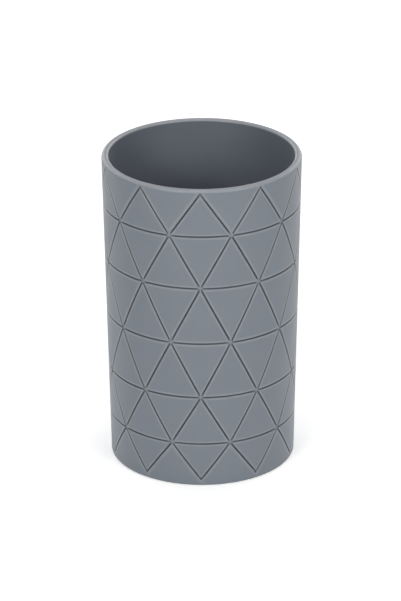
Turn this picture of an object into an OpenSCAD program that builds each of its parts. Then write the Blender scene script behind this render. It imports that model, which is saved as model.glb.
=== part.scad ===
// Bathroom tumbler: a round moulded cup whose outside is engraved with a grid of triangles.
// The underside has a shallow recess, and a rubber disc bonded there is what the tumbler stands on.
// Origin: centre of the disc's underside. +Z up. Millimetres.

/* [Cup] */
// Height from the table to the rim
height = 116.4; // [96.4:0.5:136.4]
// Outside diameter at the rim
rim_d = 72; // [66:0.5:84]
// Outside diameter at the foot
base_d = 67.3; // [60.3:0.5:78.3]
// Thickness of the side wall, outside face to bore
wall = 2.5; // [2.2:0.1:4]
// Thickness of the floor above the recess
floor_t = 3; // [2:0.1:6]
// Radius of the rim's outer edge
rim_round = 1.2; // [0.3:0.3:1.2]
// Radius of the rim's inner edge
lip_round = 0.8; // [0.3:0.05:1]
// Radius of the foot's outer edge
foot_round = 0.5; // [0.3:0.05:1]
// Radius where the bore meets the floor
bore_round = 5; // [2:0.5:10]

/* [Triangle grid] */
// Triangles side by side around the cup, along one ring
columns = 10; // [6:1:14]
// Width of a groove at the outside face
groove_w = 0.6; // [0.3:0.05:0.9]
// Depth of a groove
groove_d = 0.6; // [0.25:0.05:0.8]
// Length trimmed off each corner of a triangle, along its sides
corner_trim = 0.6; // [0.2:0.05:1.2]
// Rim down to the topmost points of the grid
top_margin = 1.3; // [1.2:0.1:4]
// Foot up to the lowest points of the grid
low_margin = 2.4; // [1.5:0.1:4]

/* [Underside] */
// Width of the plain ring between the foot's edge and the recess
foot_ring_w = 5.5; // [3:0.5:8]
// Thickness of the rubber disc
disc_t = 1.8; // [1.2:0.1:3]
// How far the disc stands below the foot
disc_proud = 0.2; // [0.15:0.05:0.8]
// Radius of the disc's lower edge
disc_round = 0.2; // [0.1:0.05:0.5]
// Thickness of the adhesive film over the disc
film_t = 0.2; // [0.1:0.05:0.4]

/* [Hidden] */
$fa = 2;
$fs = 0.3;

// Free space round the disc in its recess
disc_gap = 0.4;
// How far the adhesive film stops short of the disc's edge
film_inset = 0.7;
// How far a cutter runs past the face that it cuts
overrun = 1;
// How far the root of a raised triangle lies below the bottom of the grooves
root_t = 0.2;
// How far the groove level runs on inside the collar and the plinth
core_run = 0.2;

// Turn of the whole grid about the axis, degrees
grid_turn = -1;
// Heights of the six bands of triangles from the rim down, as shares of the grid's height
band_shares = [0.146, 0.178, 0.193, 0.189, 0.166, 0.128];
bands = len(band_shares);

foot_z = disc_proud;
recess_top_z = disc_t + film_t;
floor_z = recess_top_z + floor_t;
recess_r = base_d / 2 - foot_ring_w;
disc_r = recess_r - disc_gap;

step_a = 360 / columns;
grid_top_z = height - top_margin;
grid_low_z = foot_z + low_margin;
collar_low_z = grid_top_z + groove_w / 2;
plinth_top_z = grid_low_z - groove_w / 2;
// How far the open triangles run on into the plain collar and plinth
open_run = groove_w + corner_trim;

function outer_r(z) = base_d / 2 + (rim_d - base_d) / 2 * (z - foot_z) / (height - foot_z);
function bore_r(z) = outer_r(z) - wall;
function groove_r(z) = outer_r(z) - groove_d;

function total(list, count) = count <= 0 ? 0 : list[count - 1] + total(list, count - 1);

// Height of a row of grid points; row 0 is the topmost
function row_z(row) = grid_top_z - (grid_top_z - grid_low_z) * total(band_shares, row);

// Bearing of a grid point: each row is half a triangle round from the row above
function row_a(row, column) = grid_turn + step_a * (column + row % 2 / 2);

function unit(v) = v / norm(v);

// A triangle with each side moved inwards by d
function inset(tri, d) =
    let (
        sides = [for (i = [0:2]) norm(tri[(i + 1) % 3] - tri[(i + 2) % 3])],
        girth = sides[0] + sides[1] + sides[2],
        middle = (tri[0] * sides[0] + tri[1] * sides[1] + tri[2] * sides[2]) / girth,
        area = abs(cross(tri[1] - tri[0], tri[2] - tri[0])) / 2,
        in_radius = 2 * area / girth
    )
    [for (p = tri) middle + (p - middle) * (in_radius - d) / in_radius];

// A triangle with the tip of each corner cut off, length along both sides
function trimmed(tri, length) = [
    for (i = [0:2], way = [2, 1])
        tri[i] + unit(tri[(i + way) % 3] - tri[i]) * length
];

// What lies outside an edge rounding of radius r, at a corner whose sides run to a and b
module round_off(corner, a, b, r) {
    to_a = unit(a - corner);
    to_b = unit(b - corner);
    half = acos(to_a * to_b) / 2;
    inward = unit(to_a + to_b);
    reach = r / tan(half);
    difference() {
        polygon([corner + to_a * reach, corner - inward * r, corner + to_b * reach]);
        translate(corner + inward * r / sin(half))
            circle(r);
    }
}

// The cup's outer form before engraving, as half a section
module outer_section() {
    rim = [outer_r(height), height];
    foot = [outer_r(foot_z), foot_z];
    difference() {
        polygon([[0, foot_z], foot, rim, [0, height]]);
        round_off(rim, [0, height], foot, rim_round);
        round_off(foot, [0, foot_z], rim, foot_round);
    }
}

// The hollow of the cup, as half a section
module bore_section() {
    lip = [bore_r(height), height];
    floor_edge = [bore_r(floor_z), floor_z];
    mouth_z = height + overrun;
    difference() {
        polygon([[0, floor_z], floor_edge, [bore_r(mouth_z), mouth_z], [0, mouth_z]]);
        round_off(floor_edge, [0, floor_z], lip, bore_round);
    }
    round_off(lip, floor_edge, [outer_r(height), height], lip_round);
}

// A block that stands out along one bearing, with the outline of a triangle seen from outside.
// Each corner is [how many half steps to the side, height].
module raised_triangle(bearing, corners) {
    half_step = step_a / 2;
    outline = [for (c = corners) [outer_r(c[1]) * sin(half_step) * c[0], c[1]]];
    root = min([for (c = corners) groove_r(c[1]) * cos(half_step * c[0])]) - root_t;
    rotate([0, 0, bearing])
        rotate([90, 0, 0])
            translate([0, 0, root])
                linear_extrude(rim_d / 2 + base_d / 2 - root)
                    polygon(trimmed(inset(outline, groove_w / 2), corner_trim));
}

// The triangles of a band that stand on its lower ring. In the lowest band they open into the plinth.
module upright_triangles(band) {
    run = band == bands - 1 ? open_run : 0;
    top = row_z(band);
    low = row_z(band + 1) - run;
    spread = (top - low) / (top - low - run);
    for (column = [0:columns - 1])
        raised_triangle(row_a(band, column), [[0, top], [-spread, low], [spread, low]]);
}

// The triangles of a band that hang from its upper ring. In the top band they open into the collar.
module hanging_triangles(band) {
    run = band == 0 ? open_run : 0;
    top = row_z(band) + run;
    low = row_z(band + 1);
    spread = (top - low) / (top - low - run);
    for (column = [0:columns - 1])
        raised_triangle(row_a(band + 1, column), [[0, low], [spread, top], [-spread, top]]);
}

// Everything that reaches the outside face: the collar, the plinth and the triangles
module raised_areas() {
    translate([0, 0, collar_low_z])
        cylinder(h = height, r = rim_d);
    translate([0, 0, plinth_top_z - height])
        cylinder(h = height, r = rim_d);
    for (band = [0:bands - 1]) {
        upright_triangles(band);
        hanging_triangles(band);
    }
}

// The cup at the level of the bottom of the grooves, ending inside the collar and the plinth
module groove_core() {
    low = plinth_top_z - core_run;
    top = collar_low_z + core_run;
    translate([0, 0, low])
        cylinder(h = top - low, r1 = groove_r(low), r2 = groove_r(top));
}

// The moulded cup
module cup_body() {
    color("#808890")
        difference() {
            union() {
                groove_core();
                intersection() {
                    rotate_extrude()
                        outer_section();
                    raised_areas();
                }
            }
            rotate_extrude()
                bore_section();
            translate([0, 0, recess_top_z - height])
                cylinder(h = height, r = recess_r);
        }
}

// The film of adhesive that bonds the rubber disc to the recess
module disc_adhesive() {
    color("#d8d4c4")
        translate([0, 0, disc_t])
            cylinder(h = film_t, r = disc_r - film_inset);
}

// The rubber disc that the tumbler stands on
module non_slip_disc() {
    color("#2e3033")
        rotate_extrude()
            difference() {
                square([disc_r, disc_t]);
                round_off([disc_r, 0], [0, 0], [disc_r, disc_t], disc_round);
            }
}

cup_body();
disc_adhesive();
non_slip_disc();
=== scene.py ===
"""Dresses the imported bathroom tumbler: an engraved cup on a rubber disc, on a pale floor."""

import math

import bmesh
import bpy
from mathutils import Matrix, Vector


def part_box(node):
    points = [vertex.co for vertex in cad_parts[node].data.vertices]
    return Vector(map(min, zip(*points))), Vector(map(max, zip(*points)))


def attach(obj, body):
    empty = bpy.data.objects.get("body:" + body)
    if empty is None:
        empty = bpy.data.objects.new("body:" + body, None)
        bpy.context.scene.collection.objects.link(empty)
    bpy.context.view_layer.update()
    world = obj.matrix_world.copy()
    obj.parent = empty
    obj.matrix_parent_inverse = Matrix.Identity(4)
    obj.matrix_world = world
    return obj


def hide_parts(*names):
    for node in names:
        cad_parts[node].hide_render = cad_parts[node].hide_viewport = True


MM = 0.001

# The camera, solved from the rim, the outline and the engraved grid. The photograph is 401 by 601.
CAMERA_DISTANCE = 1390 * MM
CAMERA_ELEVATION = math.radians(23.87)
CAMERA_ROLL = math.radians(-0.21)
CAMERA_LENS = 228.4
CAMERA_SENSOR = 36.0
CAMERA_CLIP_END = 20000 * MM
AIM_LEFT = 0.61 * MM
AIM_UP = 0.41 * MM

# The moulded cup. Its height and the recess under it come from the frame.
RIM_D = 72 * MM
BASE_D = 67.3 * MM
WALL = 2.5 * MM
FLOOR_T = 3 * MM
RIM_ROUND = 1.2 * MM
LIP_ROUND = 0.8 * MM
FOOT_ROUND = 0.5 * MM
BORE_ROUND = 5 * MM
RECESS_ROUND = 0.25 * MM
DISC_GAP = 0.4 * MM

# The rubber disc's edges
DISC_ROUND = 0.2 * MM
DISC_TOP_ROUND = 0.15 * MM

# The engraved grid. Distances across a groove are from its middle line.
COLUMNS = 10
GRID_TURN = math.radians(-1)
BAND_SHARES = (0.146, 0.178, 0.193, 0.189, 0.166, 0.128)
TOP_MARGIN = 1.3 * MM
LOW_MARGIN = 2.4 * MM
GROOVE_D = 0.6 * MM
GROOVE_FLOOR = 0.08 * MM
GROOVE_SHOULDER = 0.4 * MM
# A line of points just past the shoulder. Further in, it would fold over at the sharpest corners.
GUARD = 0.45 * MM
# How far from a grid point a triangle's corner begins to round
CORNER_REACH = 1.0 * MM
# How much of the grooves' painted shade is left where a corner begins, and in the middle of its
# bend
END_GROOVE_SHADE = 0.5
OPEN_GROOVE_SHADE = 0.0

# How finely the grid is meshed
SIDE_STEPS = 12
CORNER_STEPS = 6
END_STEPS = 5
GROOVE_STEPS = 5
# Loops inside a raised area: share of its outline, and how much of the edge's painted highlight the
# loop keeps
PANEL_LOOPS = ((0.94, 0.9), (0.87, 0.0), (0.58, 0.0), (0.28, 0.0))

# How finely the turned surfaces are meshed, along their sections
RIM_STEPS = 8
RIM_TOP_STEPS = 3
LIP_STEPS = 8
BORE_STEPS = 12
BORE_CORNER_STEPS = 10
BORE_FLOOR_STEPS = 6
FOOT_STEPS = 6
FOOT_RING_STEPS = 4
RECESS_CORNER_STEPS = 4
RECESS_TOP_STEPS = 4
DISC_CORNER_STEPS = 6
DISC_TOP_CORNER_STEPS = 3
DISC_FACE_STEPS = 8
DISC_SIDES = 96
# The points of the rim's rounding and of the lip's between which the rim has its own painted light:
# painted shade on the flat top and painted highlights on the roundings
RIM_LIGHT_FROM = 2
RIM_LIGHT_TO = 6
# Points nearer than this are one
WELD = 0.002 * MM

# Linear colours
PLASTIC = (0.201, 0.23, 0.2655)
# Painted shade for the grooves, and a painted highlight for the edges beside them
GROOVE_SHADE = (0.074, 0.097, 0.13)
EDGE_HIGHLIGHT = (0.3, 0.317, 0.336)
# The rim: painted shade on its flat top and painted highlights on its roundings, in a copy of the
# outside's finish
SHADED_RIM = (0.18, 0.193, 0.216)
RIM_EDGE_HIGHLIGHT = (0.325, 0.342, 0.366)
# The bore: the outside's plastic darkened by painted shade
SHADED_BORE = (0.151, 0.168, 0.197)
RUBBER = (0.03, 0.031, 0.033)
# A painted highlight along the disc's rounded edges
RUBBER_EDGE_HIGHLIGHT = (0.045, 0.046, 0.048)
FILM = (0.68, 0.64, 0.54)
FLOOR = (0.86, 0.86, 0.86)
WHITE = (1.0, 1.0, 1.0)
# What the shared groups hold before a material gives them its own tones
MID_GREY = (0.5, 0.5, 0.5)

# The floor, and its own light for the rays that see it: this level round the cup, rising to white
# further out, where the lamps hardly reach
FLOOR_RADIUS = 3000 * MM
FLOOR_SIDES = 64
FLOOR_GLOW = 0.46
GLOW_RISES_FROM = 400 * MM
GLOW_RISES_TO = 1200 * MM
# The world's level for the light that it sheds
WORLD_LEVEL = 0.02

# Soft boxes: name, bearing and elevation seen from the cup, distance, size, watts.
# Bearing 0 is the viewer's side and 90 is the viewer's right.
SOFT_BOXES = (
    ("overhead", 0, 88, 1300 * MM, 300 * MM, 4.5),
    ("high_left", -35, 32, 1300 * MM, 500 * MM, 4.1),
    ("high_right", 35, 32, 1300 * MM, 500 * MM, 2.2),
    ("front_left", -25, 20, 1300 * MM, 300 * MM, 2.5),
    ("front_right", 45, 22, 1300 * MM, 400 * MM, 3.8),
    ("back_left", -150, 25, 1300 * MM, 1000 * MM, 5.0),
    ("back_right", 150, 25, 1300 * MM, 1000 * MM, 5.0),
)
LIGHTS_AIM = Vector((0, 0, 60 * MM))


class Skin:
    """Points and faces gathered strip by strip, and welded where they meet when it becomes a mesh.

    A point is x, y, z and two marks from 0 to 1: how much painted shade it takes down a groove, and
    how much painted highlight it takes near an edge.
    """

    def __init__(self):
        self.points = []
        self.faces = []
        self.zones = []

    def add(self, points, faces, zone):
        start = len(self.points)
        self.points += points
        self.faces += [[start + i for i in face] for face in faces]
        self.zones += [zone] * len(faces)

    def strip(self, near, far, zone, closed):
        """A band of faces between two rows of as many points."""
        count = len(near)
        spans = count if closed else count - 1
        faces = [(i, (i + 1) % count, count + (i + 1) % count, count + i) for i in range(spans)]
        self.add(list(near) + list(far), faces, zone)

    def fan(self, hub, ring, zone, closed):
        count = len(ring)
        spans = count if closed else count - 1
        self.add([hub] + list(ring), [(0, 1 + i, 1 + (i + 1) % count) for i in range(spans)], zone)

    def turned(self, profile, zone, count, start):
        """Turns a profile of (radius, height, edge mark) round the axis, which it may reach."""
        bearings = [start + math.tau * i / count for i in range(count)]
        rings = [
            [(r * math.sin(a), -r * math.cos(a), z, 0.0, edge) for a in bearings]
            for r, z, edge in profile
            if r > 0
        ]
        for near, far in zip(rings, rings[1:]):
            self.strip(near, far, zone, True)
        for (r, z, edge), ring in ((profile[0], rings[0]), (profile[-1], rings[-1])):
            if r == 0:
                self.fan((0.0, 0.0, z, 0.0, edge), ring, zone, True)

    def build(self, name, materials):
        """The mesh object, welded and smooth, with the two marks as point attributes."""
        mesh = bpy.data.meshes.new(name)
        mesh.from_pydata([point[:3] for point in self.points], [], self.faces)
        for material in materials:
            mesh.materials.append(material)
        mesh.polygons.foreach_set("material_index", self.zones)
        for place, mark in ((3, "groove_mark"), (4, "edge_mark")):
            layer = mesh.attributes.new(mark, "FLOAT", "POINT")
            layer.data.foreach_set("value", [point[place] for point in self.points])
        work = bmesh.new()
        work.from_mesh(mesh)
        bmesh.ops.remove_doubles(work, verts=work.verts, dist=WELD)
        bmesh.ops.recalc_face_normals(work, faces=work.faces)
        for face in work.faces:
            face.smooth = True
        work.to_mesh(mesh)
        work.free()
        piece = bpy.data.objects.new(name, mesh)
        bpy.context.scene.collection.objects.link(piece)
        return piece


def groove_depth(reach):
    """How far the outside lies below the taper, at this distance from a groove's middle line."""
    share = (GROOVE_SHOULDER - reach) / (GROOVE_SHOULDER - GROOVE_FLOOR)
    share = min(max(share, 0.0), 1.0)
    return GROOVE_D * (1 - math.cos(math.pi * share)) / 2


def groove_levels():
    """Distances from a groove's middle line at which the mesh has a row of points."""
    span = GROOVE_SHOULDER - GROOVE_FLOOR
    walls = [GROOVE_FLOOR + span * i / GROOVE_STEPS for i in range(GROOVE_STEPS + 1)]
    return [0.0, *walls, GUARD]


def edge_mark(reach):
    """The share of painted highlight, rising from the middle of a groove's wall to the guard line
    just past its shoulder.
    """
    half_way = (GROOVE_FLOOR + GROOVE_SHOULDER) / 2
    return min(max((reach - half_way) / (GUARD - half_way), 0.0), 1.0)


def normal_inward(a, b):
    """The unit normal on the left of the way from a to b."""
    along = (b - a).normalized()
    return Vector((-along.y, along.x))


def side(a, b, inward):
    """Places along a triangle's side, between its corners: point, way inwards, groove's share of
    painted shade.
    """
    along = (b - a).normalized()
    first = a + along * CORNER_REACH
    span = (b - a).length - 2 * CORNER_REACH
    tones = [END_GROOVE_SHADE, *[1.0] * (SIDE_STEPS - 1), END_GROOVE_SHADE]
    return [(first + along * span * i / SIDE_STEPS, inward, tone) for i, tone in enumerate(tones)]


def corner(before, tip, after):
    """Places round a triangle's corner, which leaves both sides CORNER_REACH from the tip.

    The grooves open out there, so their painted shade fades towards the middle of the bend.
    """
    to_before = (before - tip).normalized()
    to_after = (after - tip).normalized()
    half = to_before.angle(to_after) / 2
    centre = tip + (to_before + to_after).normalized() * CORNER_REACH / math.cos(half)
    radius = CORNER_REACH * math.tan(half)
    out = -normal_inward(before, tip)
    turn = math.pi - 2 * half
    places = []
    for i in range(1, CORNER_STEPS):
        share = i / CORNER_STEPS
        way = Matrix.Rotation(turn * share, 2) @ out
        tone = END_GROOVE_SHADE + (OPEN_GROOVE_SHADE - END_GROOVE_SHADE) * math.sin(math.pi * share)
        places.append((centre + way * radius, -way, tone))
    return places


class Grid:
    """The engraved outside, laid out flat as (way round, height) and wrapped on the taper."""

    def __init__(self, foot_z, rim_z):
        self.foot_z = foot_z
        self.widening = (RIM_D - BASE_D) / 2 / (rim_z - foot_z)
        self.rounding_z = rim_z - RIM_ROUND
        self.wrap_r = self.radius((foot_z + rim_z) / 2)
        self.top = rim_z - TOP_MARGIN
        self.low = foot_z + LOW_MARGIN
        self.skin = Skin()

    def radius(self, z):
        """The cup's outside radius at a height, with no groove, drawn in at the rim's rounding."""
        rise = max(z - self.rounding_z, 0.0)
        drawn_in = RIM_ROUND - math.sqrt(max(RIM_ROUND**2 - rise**2, 0.0))
        return BASE_D / 2 + self.widening * (z - self.foot_z) - drawn_in

    def rim_arc(self, start_z, steps):
        """The rest of the rim's outer rounding, above a height, as a profile for turning."""
        start = math.asin(max(start_z - self.rounding_z, 0.0) / RIM_ROUND)
        points = []
        for i in range(1, steps + 1):
            angle = start + (math.pi / 2 - start) * i / steps
            z = self.rounding_z + RIM_ROUND * math.sin(angle)
            points.append((self.radius(z), z, math.sin(2 * angle)))
        return points

    def row_z(self, row):
        return self.top - (self.top - self.low) * sum(BAND_SHARES[:row])

    def point(self, row, half_steps):
        """A grid point, counted in half triangles round the cup."""
        return Vector((self.wrap_r * math.pi / COLUMNS * half_steps, self.row_z(row)))

    def wrap(self, flat, depth=0.0, tone=1.0, edge=0.0):
        bearing = GRID_TURN + flat.x / self.wrap_r
        r = self.radius(flat.y) - depth
        # The groove mark is the share of painted shade: it follows the depth, and tone weakens it
        # where the grooves open out
        groove = tone * depth / GROOVE_D
        return (r * math.sin(bearing), -r * math.cos(bearing), flat.y, groove, edge)

    def groove_rows(self, places, closed, zone):
        """The edge of a raised area, from the groove's middle line to just past its shoulder."""
        rows = []
        # Where the painted groove shade fades, the painted edge highlight takes its place
        for level in groove_levels():
            depth = groove_depth(level)
            edge = edge_mark(level)
            rows.append(
                [
                    self.wrap(base + inward * level, depth, tone, max(edge, 1 - tone))
                    for base, inward, tone in places
                ]
            )
        for near, far in zip(rows, rows[1:]):
            self.skin.strip(near, far, zone, closed)
        return [base + inward * GUARD for base, inward, _ in places]

    def fill(self, outline, edges, middle, zone):
        """The smooth face of a raised area, inside its engraved edge."""
        rings = [[self.wrap(p, edge=edge) for p, edge in zip(outline, edges)]]
        for share, kept in PANEL_LOOPS:
            loop = [middle + (p - middle) * share for p in outline]
            rings.append([self.wrap(p, edge=edge * kept) for p, edge in zip(loop, edges)])
        for near, far in zip(rings, rings[1:]):
            self.skin.strip(near, far, zone, True)
        self.skin.fan(self.wrap(middle), rings[-1], zone, True)

    def open_corner(self, tip, places, zone):
        """The floor between a rounded corner and the grid point that it was cut from."""
        # Where the painted groove shade fades, the painted edge highlight rises
        ring = [self.wrap(base, GROOVE_D, tone, 1 - tone) for base, _, tone in places]
        self.skin.fan(self.wrap(tip, GROOVE_D, OPEN_GROOVE_SHADE, 1 - OPEN_GROOVE_SHADE), ring, zone, False)

    def triangle(self, a, b, c, zone):
        """A raised triangle with a groove on all three sides. Its points run anticlockwise."""
        places = []
        for before, tip, after in ((c, a, b), (a, b, c), (b, c, a)):
            arrive = side(before, tip, normal_inward(before, tip))
            leave = side(tip, after, normal_inward(tip, after))
            bend = corner(before, tip, after)
            self.open_corner(tip, [arrive[-1], *bend, leave[0]], zone)
            places += [*bend, *leave]
        outline = self.groove_rows(places, True, zone)
        self.fill(outline, [1.0] * len(outline), (a + b + c) / 3, zone)

    def open_triangle(self, left, tip, right, up, zone):
        """A raised triangle that opens into the plain collar (up 1) or the plain plinth (up -1)."""
        if up < 0:
            left, right = right, left
        away = Vector((0, up))
        arrive = side(left, tip, normal_inward(left, tip))
        leave = side(tip, right, normal_inward(tip, right))
        bend = corner(left, tip, right)
        self.open_corner(tip, [arrive[-1], *bend, leave[0]], zone)
        turn = away.angle(arrive[0][1])
        shares = [i / END_STEPS for i in range(END_STEPS + 1)]
        start = [(left, Matrix.Rotation(-turn * share, 2) @ away, 1.0) for share in shares]
        end = [(right, Matrix.Rotation(turn * (1 - share), 2) @ away, 1.0) for share in shares]
        outline = self.groove_rows([*start, *arrive, *bend, *leave, *end], False, zone)
        edges = [1.0] * len(outline)
        last, first = outline[-1], outline[0]
        outline += [last.lerp(first, i / SIDE_STEPS) for i in range(1, SIDE_STEPS)]
        edges += [0.0] * (SIDE_STEPS - 1)
        self.fill(outline, edges, Vector((tip.x, left.y - GUARD * up)), zone)

    def engrave(self, zone):
        bands = len(BAND_SHARES)
        for band in range(bands):
            for column in range(COLUMNS):
                peak = 2 * column + band % 2
                top = self.point(band, peak)
                low_left = self.point(band + 1, peak - 1)
                low_right = self.point(band + 1, peak + 1)
                if band == bands - 1:
                    self.open_triangle(low_left, top, low_right, -1, zone)
                else:
                    self.triangle(top, low_left, low_right, zone)
                top_right = self.point(band, peak + 2)
                if band == 0:
                    self.open_triangle(top, low_right, top_right, 1, zone)
                else:
                    self.triangle(low_right, top_right, top, zone)


def rounded(before, tip, after, radius, steps):
    """The points that round an edge in a section, from the side of before to the side of after."""
    before, tip, after = Vector(before[:2]), Vector(tip[:2]), Vector(after[:2])
    to_before = (before - tip).normalized()
    to_after = (after - tip).normalized()
    half = to_before.angle(to_after) / 2
    centre = tip + (to_before + to_after).normalized() * radius / math.sin(half)
    start = tip + to_before * radius / math.tan(half) - centre
    end = tip + to_after * radius / math.tan(half) - centre
    turn = start.angle_signed(end)
    points = [centre + Matrix.Rotation(-turn * i / steps, 2) @ start for i in range(steps + 1)]
    # The third value is the edge mark: the share of painted highlight, most in the middle of the
    # rounding
    return [(p.x, p.y, math.sin(math.pi * i / steps)) for i, p in enumerate(points)]


def even(a, b, steps):
    """Points in between a and b, without either."""
    return [
        (a[0] + (b[0] - a[0]) * i / steps, a[1] + (b[1] - a[1]) * i / steps, 0.0)
        for i in range(1, steps)
    ]


def engraved_cup(foot_z, rim_z, recess_r, recess_top_z, materials):
    """The whole cup as one closed skin: engraved outside, rim, bore, foot and recess."""
    grid = Grid(foot_z, rim_z)
    outside, inside, painted_light = range(3)
    grid.engrave(outside)
    count = SIDE_STEPS * COLUMNS
    floor_z = recess_top_z + FLOOR_T

    rim = (RIM_D / 2, rim_z)
    lip = (RIM_D / 2 - WALL, rim_z)
    floor_edge = (grid.radius(floor_z) - WALL, floor_z)
    floor_middle = (0.0, floor_z, 0.0)
    collar = (grid.radius(grid.top + GUARD), grid.top + GUARD, 0.0)
    rim_arc = grid.rim_arc(collar[1], RIM_STEPS)
    lip_arc = rounded(rim, lip, floor_edge, LIP_ROUND, LIP_STEPS)
    # The lip's painted highlight covers most of its rounding, not the middle alone
    lip_arc = [(r, z, min(2 * edge, 1.0)) for r, z, edge in lip_arc]
    rim_line = even(rim_arc[-1], lip_arc[0], RIM_TOP_STEPS)
    # The rim's flat top and most of its roundings take the copy with painted shade on the flat and
    # painted highlights on the roundings
    rim_top = [*rim_arc[RIM_LIGHT_FROM:], *rim_line, *lip_arc[: RIM_LIGHT_TO + 1]]
    grid.skin.turned([collar, *rim_arc[: RIM_LIGHT_FROM + 1]], outside, count, GRID_TURN)
    grid.skin.turned(rim_top, painted_light, count, GRID_TURN)
    grid.skin.turned(lip_arc[RIM_LIGHT_TO:], outside, count, GRID_TURN)

    bore_arc = rounded(lip, floor_edge, floor_middle, BORE_ROUND, BORE_CORNER_STEPS)
    bore_arc = [(r, z, 0.0) for r, z, _ in bore_arc]
    bore_line = even(lip_arc[-1], bore_arc[0], BORE_STEPS)
    floor_line = even(bore_arc[-1], floor_middle, BORE_FLOOR_STEPS)
    bore = [lip_arc[-1], *bore_line, *bore_arc, *floor_line, floor_middle]
    grid.skin.turned(bore, inside, count, GRID_TURN)

    plinth = (grid.radius(grid.low - GUARD), grid.low - GUARD, 0.0)
    foot = (grid.radius(foot_z), foot_z)
    recess_edge = (recess_r, foot_z)
    recess_corner = (recess_r, recess_top_z)
    recess_middle = (0.0, recess_top_z, 0.0)
    foot_arc = rounded(plinth, foot, recess_edge, FOOT_ROUND, FOOT_STEPS)
    edge_arc = rounded(foot, recess_edge, recess_corner, RECESS_ROUND, RECESS_CORNER_STEPS)
    corner_arc = rounded(
        recess_edge, recess_corner, recess_middle, RECESS_ROUND, RECESS_CORNER_STEPS
    )
    foot_line = even(foot_arc[-1], edge_arc[0], FOOT_RING_STEPS)
    recess_line = even(corner_arc[-1], recess_middle, RECESS_TOP_STEPS)
    under = [plinth, *foot_arc, *foot_line, *edge_arc, *corner_arc, *recess_line, recess_middle]
    grid.skin.turned(under, outside, count, GRID_TURN)
    return grid.skin.build("engraved_cup", materials)


def rubber_disc(radius, low_z, top_z, material):
    """The disc under the foot, with a rounded lower edge."""
    low_middle, top_middle = (0.0, low_z, 0.0), (0.0, top_z, 0.0)
    low_edge, top_edge = (radius, low_z), (radius, top_z)
    low_arc = rounded(low_middle, low_edge, top_edge, DISC_ROUND, DISC_CORNER_STEPS)
    top_arc = rounded(low_edge, top_edge, top_middle, DISC_TOP_ROUND, DISC_TOP_CORNER_STEPS)
    underside = even(low_middle, low_arc[0], DISC_FACE_STEPS)
    top = even(top_arc[-1], top_middle, DISC_FACE_STEPS)
    profile = [low_middle, *underside, *low_arc, *top_arc, *top, top_middle]
    skin = Skin()
    skin.turned(profile, zone=0, count=DISC_SIDES, start=0.0)
    return skin.build("rubber_disc", [material])


class Nodes:
    """Adds nodes to a node tree, sets their sockets and links them."""

    def __init__(self, tree):
        self.tree = tree

    def add(self, kind, settings=(), **sockets):
        """A node, with its properties from settings and its inputs by name, with _ for spaces."""
        node = self.tree.nodes.new(kind)
        for name, value in dict(settings).items():
            setattr(node, name, value)
        for name, value in sockets.items():
            self.feed(node.inputs[name.replace("_", " ")], value)
        return node

    def feed(self, socket, value):
        if isinstance(value, bpy.types.NodeSocket):
            self.tree.links.new(value, socket)
        else:
            socket.default_value = value

    def math(self, operation, *values, clamp=False):
        node = self.add("ShaderNodeMath", {"operation": operation, "use_clamp": clamp})
        for socket, value in zip(node.inputs, values):
            self.feed(socket, value)
        return node.outputs[0]

    def mix(self, share, a, b):
        """A colour between a and b, by the places of a Mix node's colour sockets."""
        factor_in, a_in, b_in, result_out = 0, 6, 7, 2
        node = self.add("ShaderNodeMix", {"data_type": "RGBA"})
        for place, value in ((factor_in, share), (a_in, a), (b_in, b)):
            self.feed(node.inputs[place], value)
        return node.outputs[result_out]

    def spread(self, value, low, high):
        """A value from 0 to 1, spread over a range."""
        node = self.add("ShaderNodeMapRange", Value=value, To_Min=low, To_Max=high)
        return node.outputs[0]


def opaque(colour):
    return (*colour, 1.0)


def new_group(name, inputs, outputs):
    """An empty shader node group with named sockets, and its two ends."""
    tree = bpy.data.node_groups.new(name, "ShaderNodeTree")
    for direction, sockets in (("INPUT", inputs), ("OUTPUT", outputs)):
        for label, kind, *value in sockets:
            socket_type = "NodeSocket" + kind
            socket = tree.interface.new_socket(label, in_out=direction, socket_type=socket_type)
            if value:
                socket.default_value = value[0]
    nodes = Nodes(tree)
    return nodes, nodes.add("NodeGroupInput").outputs, nodes.add("NodeGroupOutput").inputs


def moulded_grain():
    """The fine grain that a matt mould leaves, and sparse pits in it. Sizes are in millimetres."""
    pits_to_a_grain, pit_narrowness = 0.45, 2.6
    nodes, given, out = new_group(
        "moulded_grain",
        [("Grain Size", "Float", 0.3), ("Pits", "Float", 0.2)],
        [("Height", "Float")],
    )
    place = nodes.add("ShaderNodeTexCoord").outputs["Object"]
    per_metre = nodes.math("DIVIDE", 1 / MM, given["Grain Size"])
    grain = nodes.add(
        "ShaderNodeTexNoise", Vector=place, Scale=per_metre, Detail=2.5, Roughness=0.6
    ).outputs["Fac"]
    pit_scale = nodes.math("MULTIPLY", per_metre, pits_to_a_grain)
    cells = nodes.add("ShaderNodeTexVoronoi", Vector=place, Scale=pit_scale).outputs["Distance"]
    pits = nodes.math("SUBTRACT", 1.0, nodes.math("MULTIPLY", cells, pit_narrowness), clamp=True)
    sunk = nodes.math("MULTIPLY", pits, given["Pits"])
    nodes.feed(out["Height"], nodes.math("SUBTRACT", grain, sunk))
    return nodes.tree


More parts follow.
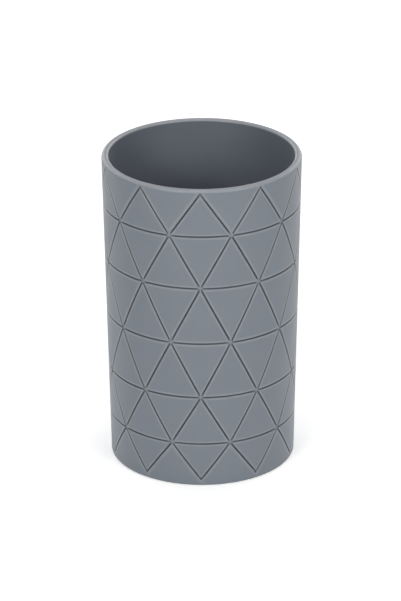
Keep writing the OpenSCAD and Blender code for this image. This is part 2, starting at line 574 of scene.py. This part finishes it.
def soft_mottle():
    """Cloudy variation in the finish, broad and fine, round 0. Sizes are in millimetres."""
    fine_to_a_patch, broad_part, fine_part = 6.5, 1.3, 0.7
    nodes, given, out = new_group(
        "soft_mottle",
        [
            ("Patch Size", "Float", 14.0),
            ("Amount", "Float", 0.04),
            ("Colour", "Color", opaque(MID_GREY)),
        ],
        [("Colour", "Color"), ("Cloud", "Float")],
    )
    place = nodes.add("ShaderNodeTexCoord").outputs["Object"]
    per_metre = nodes.math("DIVIDE", 1 / MM, given["Patch Size"])
    broad = nodes.add("ShaderNodeTexNoise", Vector=place, Scale=per_metre, Detail=2.0)
    fine_scale = nodes.math("MULTIPLY", per_metre, fine_to_a_patch)
    fine = nodes.add("ShaderNodeTexNoise", Vector=place, Scale=fine_scale, Detail=3.0)
    broad = nodes.math("MULTIPLY", broad.outputs["Fac"], broad_part)
    fine = nodes.math("MULTIPLY", fine.outputs["Fac"], fine_part)
    cloud = nodes.math("SUBTRACT", nodes.math("ADD", broad, fine), 1.0)
    swing = nodes.math("MULTIPLY", given["Amount"], 2.0)
    shade = nodes.math("ADD", 1.0, nodes.math("MULTIPLY", cloud, swing))
    scaled = nodes.add("ShaderNodeVectorMath", {"operation": "SCALE"}, Scale=shade)
    nodes.feed(scaled.inputs[0], given["Colour"])
    nodes.feed(out["Colour"], scaled.outputs[0])
    nodes.feed(out["Cloud"], cloud)
    return nodes.tree


def edge_tone():
    """Puts painted shade into a colour down the grooves, and a painted highlight, uneven in
    patches, on edges.
    """
    patches_to_a_metre, least_lift, most_lift, groove_spread = 420.0, 0.55, 1.25, 0.8
    nodes, given, out = new_group(
        "edge_tone",
        [
            ("Colour", "Color", opaque(MID_GREY)),
            ("Groove Tone", "Color", opaque(MID_GREY)),
            ("Edge Tone", "Color", opaque(MID_GREY)),
            ("Groove", "Float", 0.0),
            ("Edge", "Float", 0.0),
            ("Wear", "Float", 0.5),
        ],
        [("Colour", "Color")],
    )
    place = nodes.add("ShaderNodeTexCoord").outputs["Object"]
    patches = nodes.add("ShaderNodeTexNoise", Vector=place, Scale=patches_to_a_metre, Detail=3.0)
    uneven = nodes.spread(patches.outputs["Fac"], least_lift, most_lift)
    # A painted highlight along edges, uneven in patches, and painted shade down the grooves
    edge_light = nodes.math("MULTIPLY", given["Edge"], given["Wear"])
    painted_light = nodes.math("MULTIPLY", edge_light, uneven, clamp=True)
    lifted = nodes.mix(painted_light, given["Colour"], given["Edge Tone"])
    sunk = nodes.math("POWER", given["Groove"], groove_spread)
    nodes.feed(out["Colour"], nodes.mix(sunk, lifted, given["Groove Tone"]))
    return nodes.tree


class Finish:
    """A material round one Principled shader, with the shared effects as groups."""

    def __init__(self, name, effects, **constants):
        self.material = bpy.data.materials.new(name)
        self.material.use_nodes = True
        self.nodes = Nodes(self.material.node_tree)
        self.shader = self.material.node_tree.nodes["Principled BSDF"]
        self.effects = effects
        for socket, value in constants.items():
            self.nodes.feed(self.shader.inputs[socket.replace("_", " ")], value)

    def effect(self, name, **sockets):
        """What one of the shared groups puts out, with this material's own values."""
        group = self.nodes.add("ShaderNodeGroup", {"node_tree": self.effects[name]}, **sockets)
        return group.outputs

    def mark(self, name):
        """One of the marks that the mesh carries."""
        return self.nodes.add("ShaderNodeAttribute", {"attribute_name": name}).outputs["Fac"]

    def relief(self, height, depth):
        """A bump of this depth in metres from a height that runs from 0 to 1."""
        bump = self.nodes.add("ShaderNodeBump", Height=height, Distance=depth, Strength=1.0)
        self.nodes.feed(self.shader.inputs["Normal"], bump.outputs[0])

    def colour(self, value):
        self.nodes.feed(self.shader.inputs["Base Color"], value)

    def roughness(self, cloud, low, high):
        """Roughness that follows a cloud round 0."""
        share = self.nodes.math("ADD", cloud, 0.5, clamp=True)
        self.nodes.feed(self.shader.inputs["Roughness"], self.nodes.spread(share, low, high))


def soft_touch_plastic(effects, name, colour, at_edges):
    """The cup's outside: semi-matt, finely grained, with painted shade in the grooves and painted
    highlights at edges.
    """
    finish = Finish(name, effects, Specular_IOR_Level=0.5)
    mottle = finish.effect("soft_mottle", Colour=opaque(colour), Patch_Size=16.0, Amount=0.035)
    tone = finish.effect(
        "edge_tone",
        Colour=mottle["Colour"],
        Groove_Tone=opaque(GROOVE_SHADE),
        Edge_Tone=opaque(at_edges),
        Groove=finish.mark("groove_mark"),
        Edge=finish.mark("edge_mark"),
        Wear=0.8,
    )
    grain = finish.effect("moulded_grain", Grain_Size=0.32, Pits=0.25)
    finish.colour(tone["Colour"])
    finish.roughness(mottle["Cloud"], low=0.38, high=0.48)
    finish.relief(grain["Height"], depth=0.012 * MM)
    return finish.material


def satin_plastic(effects):
    """The bore: the same plastic from a smoother core, with a slight sheen of its own, and its
    colour darkened by painted shade.
    """
    finish = Finish("satin_plastic", effects, Specular_IOR_Level=0.45)
    mottle = finish.effect("soft_mottle", Colour=opaque(SHADED_BORE), Patch_Size=24.0, Amount=0.03)
    tone = finish.effect(
        "edge_tone",
        Colour=mottle["Colour"],
        Edge_Tone=opaque(EDGE_HIGHLIGHT),
        Edge=finish.mark("edge_mark"),
        Wear=0.5,
    )
    grain = finish.effect("moulded_grain", Grain_Size=0.55, Pits=0.1)
    finish.colour(tone["Colour"])
    finish.roughness(mottle["Cloud"], low=0.42, high=0.52)
    finish.relief(grain["Height"], depth=0.008 * MM)
    return finish.material


def dark_rubber(effects):
    """The disc: matt rubber with a coarser grain, and a painted highlight along its rounded edges.
    """
    finish = Finish("dark_rubber", effects, Specular_IOR_Level=0.35)
    mottle = finish.effect("soft_mottle", Colour=opaque(RUBBER), Patch_Size=8.0, Amount=0.12)
    tone = finish.effect(
        "edge_tone",
        Colour=mottle["Colour"],
        Edge_Tone=opaque(RUBBER_EDGE_HIGHLIGHT),
        Edge=finish.mark("edge_mark"),
        Wear=0.9,
    )
    grain = finish.effect("moulded_grain", Grain_Size=0.6, Pits=0.6)
    finish.colour(tone["Colour"])
    finish.roughness(mottle["Cloud"], low=0.75, high=0.9)
    finish.relief(grain["Height"], depth=0.03 * MM)
    return finish.material


def adhesive_film(effects):
    """The double-sided film over the disc, hidden in the recess."""
    finish = Finish("adhesive_film", effects, Specular_IOR_Level=0.5)
    mottle = finish.effect("soft_mottle", Colour=opaque(FILM), Patch_Size=6.0, Amount=0.08)
    grain = finish.effect("moulded_grain", Grain_Size=0.9, Pits=0.0)
    finish.colour(mottle["Colour"])
    finish.roughness(mottle["Cloud"], low=0.3, high=0.5)
    finish.relief(grain["Height"], depth=0.01 * MM)
    return finish.material


def background_rays(nodes):
    """1 for the rays that show the background, straight or mirrored, and 0 for those that light."""
    path = nodes.add("ShaderNodeLightPath").outputs
    mirrored = nodes.math("MAXIMUM", path["Is Glossy Ray"], path["Is Transmission Ray"])
    return nodes.math("MAXIMUM", path["Is Camera Ray"], mirrored)


def pale_floor():
    """A diffuse floor that also glows where it is seen, so that it is white outside the shadow."""
    material = bpy.data.materials.new("pale_floor")
    material.use_nodes = True
    nodes = Nodes(material.node_tree)
    material.node_tree.nodes.remove(material.node_tree.nodes["Principled BSDF"])
    matt = nodes.add("ShaderNodeBsdfDiffuse", Color=opaque(FLOOR))
    place = nodes.add("ShaderNodeTexCoord").outputs["Object"]
    way_out = nodes.add("ShaderNodeVectorMath", {"operation": "LENGTH"}, Vector=place)
    level = nodes.add(
        "ShaderNodeMapRange",
        Value=way_out.outputs["Value"],
        From_Min=GLOW_RISES_FROM,
        From_Max=GLOW_RISES_TO,
        To_Min=FLOOR_GLOW,
        To_Max=1.0,
    ).outputs[0]
    seen = nodes.math("MULTIPLY", background_rays(nodes), level)
    glow = nodes.add("ShaderNodeEmission", Strength=seen)
    both = nodes.add("ShaderNodeAddShader")
    nodes.feed(both.inputs[0], matt.outputs[0])
    nodes.feed(both.inputs[1], glow.outputs[0])
    nodes.feed(material.node_tree.nodes["Material Output"].inputs["Surface"], both.outputs[0])
    return material


def build_floor():
    """A round floor, far wider than the view."""
    turns = [math.tau * i / FLOOR_SIDES for i in range(FLOOR_SIDES)]
    rim = [(FLOOR_RADIUS * math.cos(turn), FLOOR_RADIUS * math.sin(turn), 0) for turn in turns]
    wedges = [(0, 1 + i, 1 + (i + 1) % FLOOR_SIDES) for i in range(FLOOR_SIDES)]
    mesh = bpy.data.meshes.new("floor")
    mesh.from_pydata([(0, 0, 0), *rim], [], wedges)
    mesh.materials.append(pale_floor())
    floor = bpy.data.objects.new("floor", mesh)
    bpy.context.scene.collection.objects.link(floor)


def build_camera(rim_z):
    camera = bpy.data.objects.new("camera", bpy.data.cameras.new("camera"))
    bpy.context.scene.collection.objects.link(camera)
    camera.data.lens = CAMERA_LENS
    camera.data.sensor_width = CAMERA_SENSOR
    camera.data.clip_end = CAMERA_CLIP_END
    back = Vector((0, -math.cos(CAMERA_ELEVATION), math.sin(CAMERA_ELEVATION)))
    middle = Vector((0, 0, rim_z / 2))
    camera.location = middle + back * CAMERA_DISTANCE
    upward = back.cross(Vector((1, 0, 0)))
    aim = middle + Vector((-AIM_LEFT, 0, 0)) + upward * AIM_UP
    look = (aim - camera.location).to_track_quat("-Z", "Y")
    camera.rotation_euler = (look.to_matrix() @ Matrix.Rotation(CAMERA_ROLL, 3, "Z")).to_euler()
    bpy.context.scene.camera = camera


def build_world():
    """A white surround where it is seen, and a dim one for the light that it sheds."""
    world = bpy.data.worlds.new("studio")
    world.use_nodes = True
    nodes = Nodes(world.node_tree)
    level = nodes.spread(background_rays(nodes), WORLD_LEVEL, 1.0)
    background = world.node_tree.nodes["Background"].inputs
    nodes.feed(background["Color"], opaque(WHITE))
    nodes.feed(background["Strength"], level)
    bpy.context.scene.world = world


def build_soft_boxes():
    for name, bearing, elevation, distance, size, watts in SOFT_BOXES:
        a, e = math.radians(bearing), math.radians(elevation)
        way = Vector((math.sin(a) * math.cos(e), -math.cos(a) * math.cos(e), math.sin(e)))
        lamp = bpy.data.objects.new(name, bpy.data.lights.new(name, "AREA"))
        lamp.data.size = size
        lamp.data.energy = watts
        lamp.location = LIGHTS_AIM + way * distance
        lamp.rotation_euler = way.to_track_quat("Z", "Y").to_euler()
        lamp.visible_camera = False
        bpy.context.scene.collection.objects.link(lamp)


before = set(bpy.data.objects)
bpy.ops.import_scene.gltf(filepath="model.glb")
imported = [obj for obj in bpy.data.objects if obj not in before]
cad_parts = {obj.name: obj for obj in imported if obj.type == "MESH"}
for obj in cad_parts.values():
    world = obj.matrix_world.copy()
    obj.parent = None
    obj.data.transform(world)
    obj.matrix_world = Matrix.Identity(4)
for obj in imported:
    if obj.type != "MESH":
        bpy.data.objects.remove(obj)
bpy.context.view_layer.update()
bpy.context.scene.view_settings.view_transform = "Standard"

cup_low, cup_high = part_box("cup_body")
disc_low, disc_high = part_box("non_slip_disc")
_, film_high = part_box("disc_adhesive")
build_camera(cup_high.z)
build_world()
build_soft_boxes()
build_floor()

effects = {group.name: group for group in (moulded_grain(), soft_mottle(), edge_tone())}
disc_r = disc_high.x
cup = engraved_cup(
    cup_low.z,
    cup_high.z,
    disc_r + DISC_GAP,
    film_high.z,
    [
        soft_touch_plastic(effects, "soft_touch_plastic", PLASTIC, EDGE_HIGHLIGHT),
        satin_plastic(effects),
        soft_touch_plastic(effects, "rim_painted_light", SHADED_RIM, RIM_EDGE_HIGHLIGHT),
    ],
)
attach(cup, "root")
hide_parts("cup_body")

disc = rubber_disc(disc_r, disc_low.z, disc_high.z, dark_rubber(effects))
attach(disc, "root")
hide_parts("non_slip_disc")

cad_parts["disc_adhesive"].material_slots[0].material = adhesive_film(effects)
